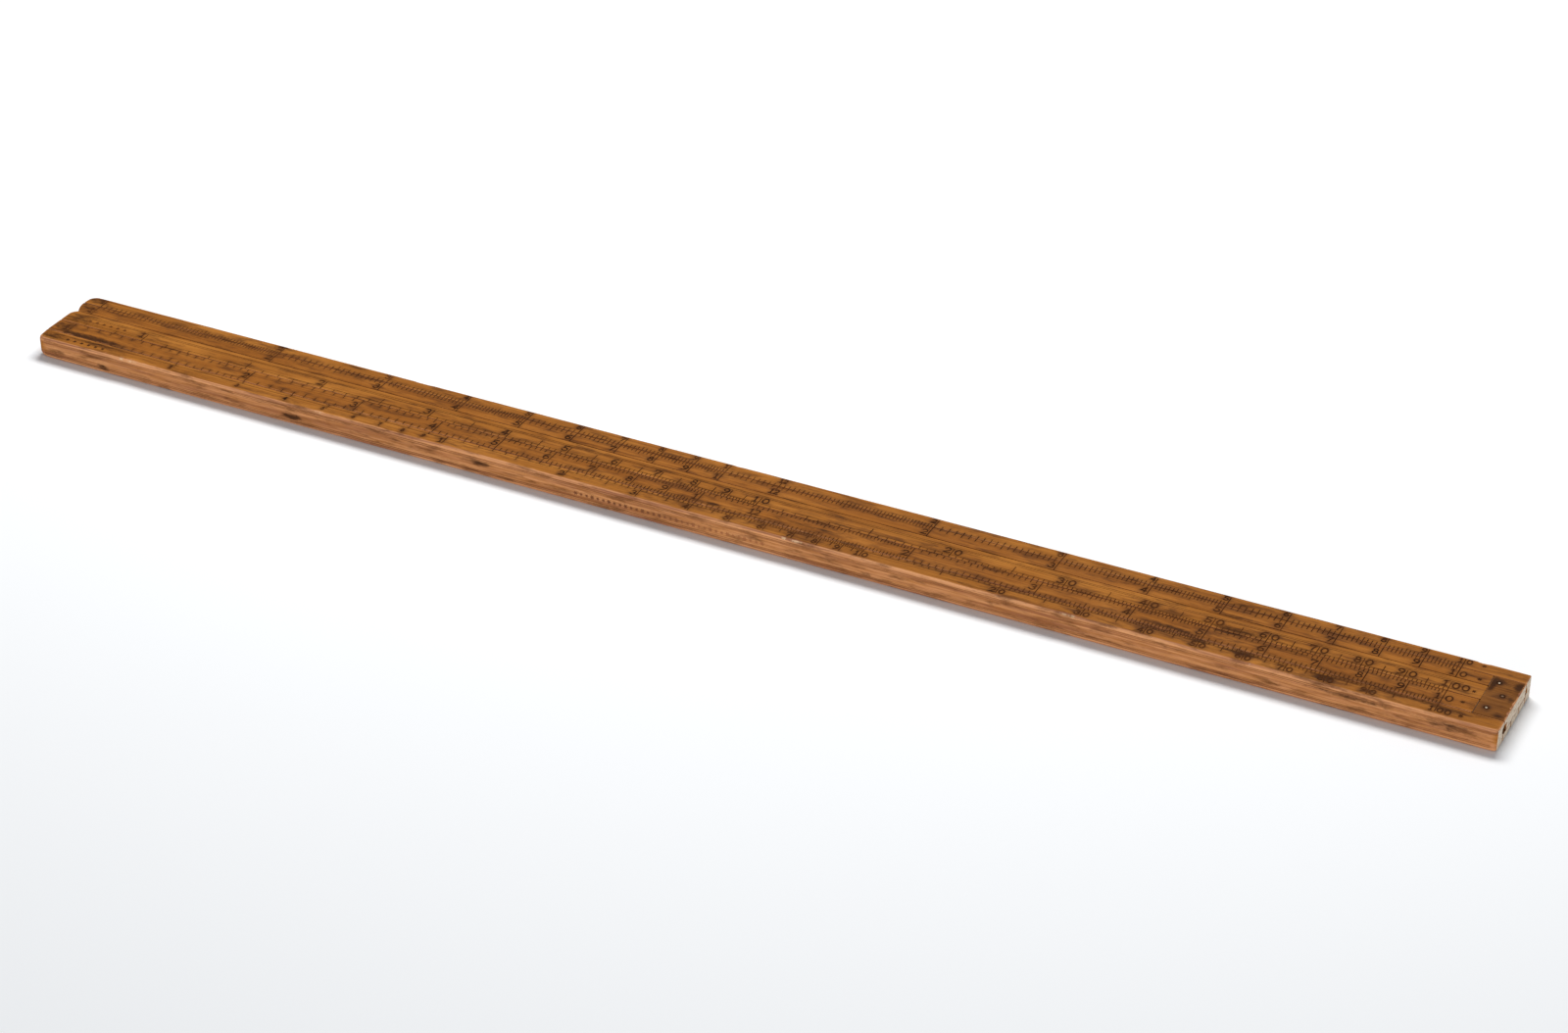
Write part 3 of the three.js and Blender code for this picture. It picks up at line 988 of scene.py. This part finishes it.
def centre_rail():
    low, high = CENTRE_RAIL[0].copy(), CENTRE_RAIL[1].copy()
    high[0] -= HOUSING_LENGTH
    strip = Strip("centre_rail_wood", "stock", "boxwood_rail", low, high, seed=31)
    shares = np.linspace(1, 0, 7)
    notch = [(strip.left + NOTCH_DEPTH * t * t, strip.back - NOTCH_ON_RAIL * (1 - t)) for t in shares]
    strip.left_end = notch + strip.left_end[3:]
    strip.arris = {"front": 0.26, "back": 0.22, "left": 0.4, "right": 0.2}
    strip.worn_front, strip.worn_back = 0.5, 0.4
    strip.grime = 0.5
    strip.worn_ends = (0.7, 0.0)
    strip.levels = channel_levels(True, True) + [
        (HOUSING_FLOOR + 0.04, 0, 0, 0), (HOUSING_FLOOR, 0, 0, HOUSING_LENGTH),
    ]
    marks = [m for m in cask_line(standing_cask, 0.8) if m[0] < strip.right - 2]
    cut_number_line(strip, marks, "front", (1.05, 1.5, 4.4, 5.3), across(0.523), DIGIT_HEIGHT)
    strip.grooves += star(at_number(100) + 8.5, across(0.51), 0.7)
    strip.grooves += star_row(6, from_left(12), 3.4, across(0.52), (0.7,), 0.1)
    for share, seed in ((0.596, 8), (0.575, 9), (0.462, 10)):
        strip.grooves.append(long_line(across(share), strip.left + 3, strip.right - 8, seed))
    strip.stains = top_stains(
        (508, 0.47, 12, 2.4, 0.8), (416, 0.43, 9, 1.2, 0.7), (120, 0.6, 22, 0.8, 0.35),
        (480, 0.63, 30, 0.7, 0.5), (300, 0.44, 16, 0.9, 0.4), (6, 0.5, 10, 4.5, 0.7),
        (483, 0.5, 9, 2.6, 0.6), (545, 0.5, 9, 1.6, 0.5), (330, 0.62, 70, 1.0, 0.36),
        (560, 0.6, 30, 1.0, 0.4),
    )
    return strip


def narrow_slide():
    box = slide_box(NARROW_SLIDE, CENTRE_RAIL, BACK_RAIL)
    strip = Strip("narrow_slide_wood", "narrow_slide", "boxwood_slide", *box, seed=43)
    groove_back = BACK_RAIL[0][1]
    shares = [(groove_back - y) / NOTCH_ON_SLIDE for y in np.linspace(strip.back - 0.6, strip.front, 9)]
    curve = [(strip.left + NOTCH_DEPTH * t * t, groove_back - NOTCH_ON_SLIDE * t) for t in shares]
    strip.left_end = [(strip.left + 0.12, strip.back - 0.1)] + curve
    strip.arris = {"front": 0.22, "back": 0.28, "left": 0.25, "right": 0.2}
    strip.worn_front, strip.worn_back = 0.3, 0.5
    strip.worn_ends = (0.7, 0.0)
    strip.levels = slide_levels()
    marks = number_line(FINE_FIRST_RADIUS)
    cut_number_line(strip, marks, "back", (1.5, 1.8, 2.5, None), across(0.731), 3.2)
    strip.grooves += star(at_number(100) + 8, across(0.72), 0.7)
    strip.stains = top_stains(
        (300, 0.68, 30, 0.9, 0.5), (505, 0.68, 10, 1.4, 0.75), (150, 0.67, 40, 0.8, 0.5),
        (420, 0.78, 8, 1.2, 0.5), (593, 0.75, 6, 3.0, 0.6), (60, 0.8, 9, 1.5, 0.5),
        (4, 0.75, 9, 4.5, 0.7), (470, 0.79, 14, 1.5, 0.5), (110, 0.78, 12, 1.6, 0.5),
        (245, 0.79, 14, 1.3, 0.5),
    )
    return strip


def wide_slide():
    box = slide_box(WIDE_SLIDE, FRONT_RAIL, CENTRE_RAIL)
    strip = Strip("wide_slide_wood", "wide_slide", "boxwood_slide", *box, seed=59)
    strip.arris = {"front": 0.3, "back": 0.28, "left": 0.4, "right": 0.2}
    strip.worn_front, strip.worn_back = 0.62, 0.5
    strip.worn_ends = (0.7, 0.0)
    strip.levels = slide_levels()
    marks = number_line(PLAIN_FIRST_RADIUS)
    cut_number_line(strip, marks, "back", (1.5, 1.8, 2.5, None), across(0.298), DIGIT_HEIGHT)
    marks_between = [m for m in marks if m[1] < 3]
    cut_number_line(strip, marks_between, "front", (1.4, 1.7, 2.4, None), 0.0, 0.0, False)
    strip.grooves += star(at_number(100) + 7, across(0.3), 0.7)
    strip.stains = top_stains(
        (304, 0.245, 3.6, 1.3, 1.0), (345, 0.3, 26, 1.6, 0.7), (508, 0.41, 12, 1.6, 0.9),
        (416, 0.40, 7, 1.4, 0.7), (20, 0.21, 22, 2.8, 0.95), (598, 0.3, 5, 4.0, 0.6),
        (4, 0.32, 9, 4.5, 0.7), (488, 0.24, 16, 1.8, 0.8), (532, 0.38, 10, 1.5, 0.6),
        (110, 0.22, 16, 1.4, 0.5), (240, 0.24, 16, 1.2, 0.4), (545, 0.22, 12, 1.5, 0.6),
        (535, 0.192, 55, 0.9, 0.5), (520, 0.43, 60, 0.7, 0.45),
    )
    return strip


def groove_floor(node, name, seed):
    strip = Strip(name, "stock", "boxwood_floor", *mm_box(node), seed=seed)
    strip.arris = {"front": 0.12, "back": 0.12, "left": 0.12, "right": 0.12}
    strip.levels = [(FLOOR_SIDE_TOP, 0, 0, 0)]
    strip.fill_spacing = (2.5, 1.5)
    middle = (strip.front + strip.back) / 2
    strip.left_end = strip.left_end[::2]
    strip.stains = [(from_left(9 + 75 * i), middle + (-1) ** i, 14, 2.0, 0.5) for i in range(9)]
    return strip


# ---- materials ----


class Tree:
    """A material's node tree, with short calls for the nodes that the woods and metals share."""

    def __init__(self, name):
        self.material = bpy.data.materials.new(name)
        self.material.use_nodes = True
        self.nodes = self.material.node_tree.nodes
        self.links = self.material.node_tree.links
        self.nodes.clear()
        self.shader = self.nodes.new("ShaderNodeBsdfPrincipled")
        output = self.nodes.new("ShaderNodeOutputMaterial")
        self.links.new(self.shader.outputs[0], output.inputs["Surface"])

    def feed(self, socket, value):
        if isinstance(value, bpy.types.NodeSocket):
            self.links.new(value, socket)
        elif isinstance(value, tuple) and len(value) == 3 and socket.type == "RGBA":
            socket.default_value = (*value, 1)
        else:
            socket.default_value = value

    def coordinates(self, scale):
        """The rule's own coordinates in millimetres, squeezed by scale along each axis."""
        source = self.nodes.new("ShaderNodeTexCoord")
        mapping = self.nodes.new("ShaderNodeMapping")
        self.links.new(source.outputs["Object"], mapping.inputs["Vector"])
        mapping.inputs["Scale"].default_value = [s / MM for s in scale]
        return mapping.outputs[0]

    def noise(self, scale, detail=3.0, roughness=0.55, distortion=0.0):
        node = self.nodes.new("ShaderNodeTexNoise")
        self.links.new(self.coordinates(scale), node.inputs["Vector"])
        node.inputs["Scale"].default_value = 1.0
        node.inputs["Detail"].default_value = detail
        node.inputs["Roughness"].default_value = roughness
        node.inputs["Distortion"].default_value = distortion
        return node.outputs["Fac"]

    def attribute(self, name):
        node = self.nodes.new("ShaderNodeAttribute")
        node.attribute_name = name
        return node.outputs["Fac"]

    def math(self, operation, a, b=0.5, clamp=False):
        node = self.nodes.new("ShaderNodeMath")
        node.operation = operation
        node.use_clamp = clamp
        self.feed(node.inputs[0], a)
        self.feed(node.inputs[1], b)
        return node.outputs[0]

    def window(self, value, low, high, to_low=0.0, to_high=1.0):
        """value taken smoothly from low..high to to_low..to_high."""
        node = self.nodes.new("ShaderNodeMapRange")
        node.interpolation_type = "SMOOTHSTEP"
        self.feed(node.inputs["Value"], value)
        limits = {"From Min": low, "From Max": high, "To Min": to_low, "To Max": to_high}
        for socket, number in limits.items():
            self.feed(node.inputs[socket], number)
        return node.outputs["Result"]

    def mix(self, share, a, b, blend="MIX"):
        node = self.nodes.new("ShaderNodeMix")
        node.data_type = "RGBA"
        node.blend_type = blend
        self.feed(node.inputs[0], share)
        self.feed(node.inputs[6], a)
        self.feed(node.inputs[7], b)
        return node.outputs[2]

    def layer(self, under, over, value, low, high, most, least=0.0):
        """One colour over another, more of it as value goes from low to high."""
        return self.mix(self.window(value, low, high, least, most), under, over)

    def plus(self, value, other, times):
        return self.math("ADD", value, self.math("MULTIPLY", other, times))

    def bump(self, height, distance_mm, strength=1.0, normal=None):
        node = self.nodes.new("ShaderNodeBump")
        node.inputs["Strength"].default_value = strength
        node.inputs["Distance"].default_value = distance_mm * MM
        self.feed(node.inputs["Height"], height)
        if normal is not None:
            self.links.new(normal, node.inputs["Normal"])
        return node.outputs[0]

    def finish(self, colour, roughness, normal, specular=0.35, metallic=0.0):
        self.feed(self.shader.inputs["Base Color"], colour)
        self.feed(self.shader.inputs["Roughness"], roughness)
        self.feed(self.shader.inputs["Normal"], normal)
        self.shader.inputs["Specular IOR Level"].default_value = specular
        self.shader.inputs["Metallic"].default_value = metallic
        return self.material


def wood_colour(tree, dark, mid, light, offset):
    """Boxwood with fine straight grain along the rule, broad bands, golden patches and dark lines."""
    streaks = tree.noise((0.012, 1.6, 1.6), 5.0, 0.62)
    bands = tree.noise((0.006 + offset, 0.22, 0.22), 2.0, 0.5)
    patches = tree.noise((0.03, 0.16, 0.16), 3.0, 0.6)
    lines = tree.noise((0.02, 3.0, 3.0), 3.0, 0.6)
    flecks = tree.noise((0.3, 2.6, 2.6), 3.0, 0.65)
    colour = tree.mix(tree.window(streaks, 0.3, 0.7), dark, light)
    colour = tree.layer(colour, mid, bands, 0.25, 0.75, 0.75, 0.4)
    colour = tree.layer(colour, light, patches, 0.42, 0.72, 0.6)
    colour = tree.layer(colour, dark, lines, 0.6, 0.72, 0.6)
    colour = tree.layer(colour, dark, flecks, 0.6, 0.72, 0.45)
    return colour, streaks, flecks


def with_stains(tree, colour, ink):
    """Dark handling stains with ragged edges, soot round the cuts, and dirt that gathers near them."""
    ragged = tree.math("SUBTRACT", tree.noise((0.3, 0.9, 0.9), 5.0, 0.7), 0.5)
    soot = tree.attribute("soot")
    mottle = tree.noise((0.08, 0.42, 0.42), 5.0, 0.68)
    dirt = tree.plus(mottle, soot, 0.16)
    colour = tree.layer(colour, DIRT_COLOUR, dirt, 0.47, 0.72, 0.75)
    sooty = tree.plus(soot, ragged, 0.9)
    colour = tree.layer(colour, (0.055, 0.019, 0.006), sooty, 0.0, 1.1, 0.85)
    stain = tree.attribute("stain")
    amount = tree.plus(stain, ragged, 1.1)
    mask = tree.math("MULTIPLY", tree.window(amount, 0.3, 0.9, 0.0, 0.9), tree.window(stain, 0.0, 0.15))
    return tree.mix(mask, colour, ink), mask


def with_wear(tree, colour, bare_and_lit, streaks):
    """Edges and sides rubbed down to paler, pinker wood, and palest where it is freshly chipped. The
    paleness is also painted light: painted highlights along the top edges, and a front face painted
    brighter than its lamps make it.
    """
    ragged = tree.math("SUBTRACT", tree.noise((0.09, 0.9, 0.9), 4.0, 0.65), 0.5)
    blotches = tree.noise((0.018, 0.38, 0.38), 4.0, 0.6)
    wear = tree.attribute("wear")
    amount = tree.plus(wear, ragged, 0.6)
    shade = (bare_and_lit[0] * 0.74, bare_and_lit[1] * 0.64, bare_and_lit[2] * 0.62)
    glow = (bare_and_lit[0] * 1.12, bare_and_lit[1] * 1.12, bare_and_lit[2] * 1.1)
    rubbed = tree.mix(tree.window(streaks, 0.33, 0.64), shade, glow)
    rubbed = tree.layer(rubbed, (0.22, 0.078, 0.048), blotches, 0.48, 0.64, 0.72)
    colour = tree.layer(colour, rubbed, amount, 0.15, 0.85, 0.95)
    # Palest of all on the top edges and chips: fresh wood, and also a painted highlight.
    fresh = tree.plus(wear, tree.noise((0.9, 1.2, 1.2), 4.0, 0.7), 0.9)
    return tree.layer(colour, (0.8, 0.56, 0.33), fresh, 1.6, 2.1, 0.85)


def wood_material(name, dark, mid, light, offset, bare_and_lit, ink):
    tree = Tree(name)
    colour, streaks, flecks = wood_colour(tree, dark, mid, light, offset)
    colour = with_wear(tree, colour, bare_and_lit, streaks)
    colour, stained = with_stains(tree, colour, ink)
    roughness = tree.window(tree.noise((0.03, 0.4, 0.4), 3.0), 0.3, 0.7, 0.5, 0.68)
    roughness = tree.plus(roughness, stained, 0.12)
    normal = tree.bump(streaks, 0.03, 0.6)
    normal = tree.bump(flecks, 0.02, 0.5, normal)
    return tree.finish(colour, roughness, normal, specular=0.03)


def ink_material(name, ink, wood, least=0.0):
    """The dirt and old ink in the cuts, rubbed out of them here and there."""
    tree = Tree(name)
    rubbed = tree.noise((0.03, 0.2, 0.2), 3.0, 0.6)
    speckle = tree.noise((1.2, 1.6, 1.6), 3.0, 0.6)
    handled = tree.noise((0.009, 0.04, 0.04), 2.0, 0.5)
    fade = tree.window(rubbed, 0.4, 0.7, least, 0.6)
    fade = tree.math("ADD", fade, tree.window(speckle, 0.5, 0.8, 0.0, 0.35))
    fade = tree.math("ADD", fade, tree.window(handled, 0.45, 0.65, 0.0, 0.4), clamp=True)
    colour = tree.mix(fade, ink, wood)
    return tree.finish(colour, 0.75, tree.bump(speckle, 0.03, 0.6), specular=0.02)


def end_grain_material(name, pale_and_lit, brown, edge):
    """Sawn end grain with fine pores, soft growth rings and a little grime, painted pale: partly its own
    colour and partly painted light on the ends that face to the right.
    """
    tree = Tree(name)
    rings = tree.noise((0.2, 0.35, 1.3), 2.0, 0.5)
    pores = tree.noise((2.0, 6.0, 6.0), 3.0, 0.6)
    grime = tree.noise((0.4, 0.5, 0.6), 4.0, 0.65)
    colour = tree.layer(pale_and_lit, brown, rings, 0.35, 0.7, 0.55)
    colour = tree.layer(colour, brown, pores, 0.55, 0.75, 0.4)
    colour = tree.layer(colour, edge, grime, 0.52, 0.75, 0.75)
    return tree.finish(colour, 0.7, tree.bump(pores, 0.04, 0.7), specular=0.03)


def steel_material(name, rust):
    """A brad's end, filed flush: scratched, dulled and browned. More rust, and less of it is bright."""
    tree = Tree(name)
    scratches = tree.noise((9.0, 1.2, 1.0), 4.0, 0.7)
    tarnish = tree.noise((1.3, 1.3, 1.3), 4.0, 0.65)
    rusted = tree.window(tarnish, 0.65 - rust, 0.9 - rust, 0.0, 0.95)
    colour = tree.mix(rusted, (0.36, 0.31, 0.23), (0.09, 0.05, 0.025))
    roughness = tree.window(scratches, 0.3, 0.7, 0.35, 0.6)
    normal = tree.bump(scratches, 0.03, 0.9)
    return tree.finish(colour, roughness, normal, specular=0.3, metallic=0.7)


INK_COLOUR = (0.038, 0.014, 0.006)
DIRT_COLOUR = (0.085, 0.028, 0.008)
# Rubbed wood, paler than the wood's own colour so that it also paints light: the front face brighter than
# its lamps make it, and highlights along the top edges.
BARE_WOOD_AND_PAINTED_LIGHT = (0.62, 0.295, 0.135)
RAIL_WOOD = ((0.15, 0.042, 0.006), (0.29, 0.1, 0.014), (0.47, 0.182, 0.031), 0.0)
SLIDE_WOOD = ((0.13, 0.036, 0.005), (0.265, 0.086, 0.012), (0.43, 0.16, 0.027), 0.001)
BLOCK_WOOD = ((0.07, 0.022, 0.005), (0.16, 0.053, 0.01), (0.3, 0.115, 0.022), 0.003)
FLOOR_WOOD = ((0.13, 0.045, 0.011), (0.27, 0.106, 0.025), (0.39, 0.16, 0.042), 0.002)


def strip_materials():
    """For each kind of wood, what a strip's faces, cuts, ends and side cuts are made of."""
    ink = ink_material("scale_ink", INK_COLOUR, (0.13, 0.042, 0.01))
    side_ink = ink_material("side_ink", (0.09, 0.032, 0.018), (0.36, 0.14, 0.055), 0.25)
    # The end grain is painted paler than its own colour: partly painted light on the right-hand ends.
    ends = end_grain_material("end_grain", (0.8, 0.68, 0.53), (0.5, 0.34, 0.22), (0.2, 0.09, 0.035))
    woods = {}
    kinds = {"rail": RAIL_WOOD, "slide": SLIDE_WOOD, "block": BLOCK_WOOD, "floor": FLOOR_WOOD}
    for kind, colours in kinds.items():
        wood = wood_material(kind + "_boxwood", *colours, BARE_WOOD_AND_PAINTED_LIGHT, INK_COLOUR)
        woods[kind] = [wood, ink, ends, side_ink]
    return woods


# ---- the bridge block and its pins ----


def bridge_block():
    """The block across the end, with a dirty ring round each pin and a battered right-hand edge."""
    strip = Strip("bridge_block_wood", "stock", "boxwood_block", *BLOCK, seed=83)
    strip.arris = {"front": 0.12, "back": 0.2, "left": 0.12, "right": 0.4}
    strip.worn_front, strip.worn_back = 0.1, 0.3
    strip.worn_ends = (0.0, 0.8)
    for _ in range(14):
        y = strip.front + strip.rng.uniform(0.5, 24)
        strip.chips["right"].append((y, strip.rng.uniform(0.3, 1.1), strip.rng.uniform(0.2, 0.75)))
    strip.levels = [
        (BLOCK_SIDE_TOP, 0, 0, 0), (REBATE_TOP, 0, 0, 0), (REBATE_TOP - 0.05, -REBATE_WIDTH, 0, 0),
    ]
    strip.fill_spacing = (0.5, 0.5)
    for node in PINS:
        low, high = mm_box(node)
        x, y = ((low + high) / 2)[:2]
        strip.grooves += ring_cut(x, y, (high[0] - low[0]) / 2 + 0.2)
        strip.stains.append((x, y, 1.7, 1.5, 0.75))
    strip.stains += [
        (strip.right - 1.5, 9.4, 2.6, 3.6, 1.0), (strip.right - 7, 9.0, 5.0, 2.0, 0.6),
        (strip.left + 1.0, 8.0, 1.6, 6.5, 1.0), (strip.right - 2, 1.0, 2.0, 3.5, 0.7),
        (strip.right - 3, -10.0, 3.5, 2.0, 0.8), (strip.left + 3, 10.5, 3.0, 1.5, 0.8),
        (strip.left + 5, 1.0, 5.0, 1.6, 0.6), (strip.left + 7, 6.0, 3.0, 2.0, 0.55),
        (strip.left + 3, -7.5, 3.0, 2.6, 0.7),
    ]
    return strip


def pin(node, name, material, seed):
    """A headless brad: pointed below, and filed to a shallow dome on top."""
    low, high = mm_box(node)
    centre = (low + high) / 2
    radius = (high[0] - low[0]) / 2
    height = high[2] - low[2]
    profile = [
        (radius * 0.99, 1.2), (radius * 0.99, height - 0.14), (radius * 0.93, height - 0.07),
        (radius * 0.6, height - 0.02), (radius * 0.25, height),
    ]
    rng = random.Random(seed)
    sides = 32
    work = bmesh.new()
    rings = []
    for r, z in profile:
        ring = []
        for i in range(sides):
            angle = 2 * math.pi * i / sides
            dent = 0.012 * rng.uniform(-1, 0) if z > height - 0.1 else 0.0
            x, y = centre[0] + r * math.cos(angle), centre[1] + r * math.sin(angle)
            ring.append(work.verts.new(Vector((x, y, low[2] + z + dent)) * MM))
        rings.append(ring)
    tip = work.verts.new(Vector((centre[0], centre[1], low[2])) * MM)
    crown = work.verts.new(Vector((centre[0], centre[1], high[2] - 0.005)) * MM)
    for i in range(sides):
        j = (i + 1) % sides
        work.faces.new((tip, rings[0][j], rings[0][i]))
        for lower, upper in zip(rings[:-1], rings[1:]):
            work.faces.new((lower[i], lower[j], upper[j], upper[i]))
        work.faces.new((rings[-1][i], rings[-1][j], crown))
    mesh = bpy.data.meshes.new(name)
    work.to_mesh(mesh)
    work.free()
    mesh.shade_smooth()
    mesh.set_sharp_from_angle(angle=math.radians(40))
    mesh.materials.append(material)
    made = bpy.data.objects.new(name, mesh)
    bpy.context.scene.collection.objects.link(made)
    return made


# ---- assembly ----


def place(piece, body, slot, node):
    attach(piece, body)
    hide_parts(node)


def build_rule():
    woods = strip_materials()
    for strip, node, wood in (
        (front_rail(), "front_rail", "rail"),
        (centre_rail(), "centre_rail", "rail"),
        (back_rail(), "back_rail", "rail"),
        (narrow_slide(), "narrow_slide", "slide"),
        (wide_slide(), "wide_slide", "slide"),
        (bridge_block(), "bridge_block", "block"),
        (groove_floor("narrow_groove_floor", "narrow_floor_wood", 71), "narrow_groove_floor", "floor"),
        (groove_floor("wide_groove_floor", "wide_floor_wood", 73), "wide_groove_floor", "floor"),
    ):
        place(build_strip(strip, woods[wood]), strip.body, strip.slot, node)
    for number, (node, rust) in enumerate(zip(PINS, (0.25, 0.5, 0.25))):
        steel = steel_material(node + "_metal", rust)
        place(pin(node, node + "_steel", steel, 90 + number), "stock", "pin_steel", node)


# ---- stage ----


def make_floor():
    mesh = bpy.data.meshes.new("floor")
    reach, depth = 4.0, -0.00005
    corners = [(x * reach, y * reach, depth) for x, y in ((-1, -1), (1, -1), (1, 1), (-1, 1))]
    mesh.from_pydata(corners, [], [(0, 1, 2, 3)])
    tree = Tree("white_paper")
    grain = tree.bump(tree.noise((0.05, 0.05, 0.05)), 0.01, 0.1)
    mesh.materials.append(tree.finish((0.9, 0.9, 0.9), 0.9, grain))
    floor = bpy.data.objects.new("floor", mesh)
    bpy.context.scene.collection.objects.link(floor)


def area_light(name, place_m, target, size, watts, colour=(1, 1, 1)):
    light = bpy.data.lights.new(name, "AREA")
    light.shape = "RECTANGLE"
    light.size, light.size_y = size
    light.energy = watts
    light.color = colour
    made = bpy.data.objects.new(name, light)
    made.location = place_m
    made.rotation_euler = (Vector(target) - Vector(place_m)).to_track_quat("-Z", "Y").to_euler()
    bpy.context.scene.collection.objects.link(made)


def make_lights():
    world = bpy.data.worlds.new("studio")
    world.use_nodes = True
    background = world.node_tree.nodes["Background"]
    background.inputs["Color"].default_value = (0.94, 1.0, 1.07, 1)
    background.inputs["Strength"].default_value = 0.31
    bpy.context.scene.world = world
    area_light("softbox_behind", (-0.12, 0.64, 1.08), (0, 0, 0), (0.9, 0.4), 18)
    area_light("fill_in_front", (0.46, -2.5, 0.2), (0, 0, 0), (2.2, 0.3), 33)


def make_camera():
    """A long lens looking down along the rule from in front of its right-hand end."""
    data = bpy.data.cameras.new("camera")
    data.sensor_width = 36
    data.lens = 82.904
    data.clip_start = 0.05
    data.clip_end = 20
    camera = bpy.data.objects.new("camera", data)
    camera.location = (0.54588, -1.01227, 0.72029)
    camera.rotation_euler = Euler([math.radians(a) for a in (57.862, 0.276, 27.102)])
    bpy.context.scene.collection.objects.link(camera)
    bpy.context.scene.camera = camera


build_rule()
make_floor()
make_lights()
make_camera()
bpy.context.scene.view_settings.view_transform = "Standard"
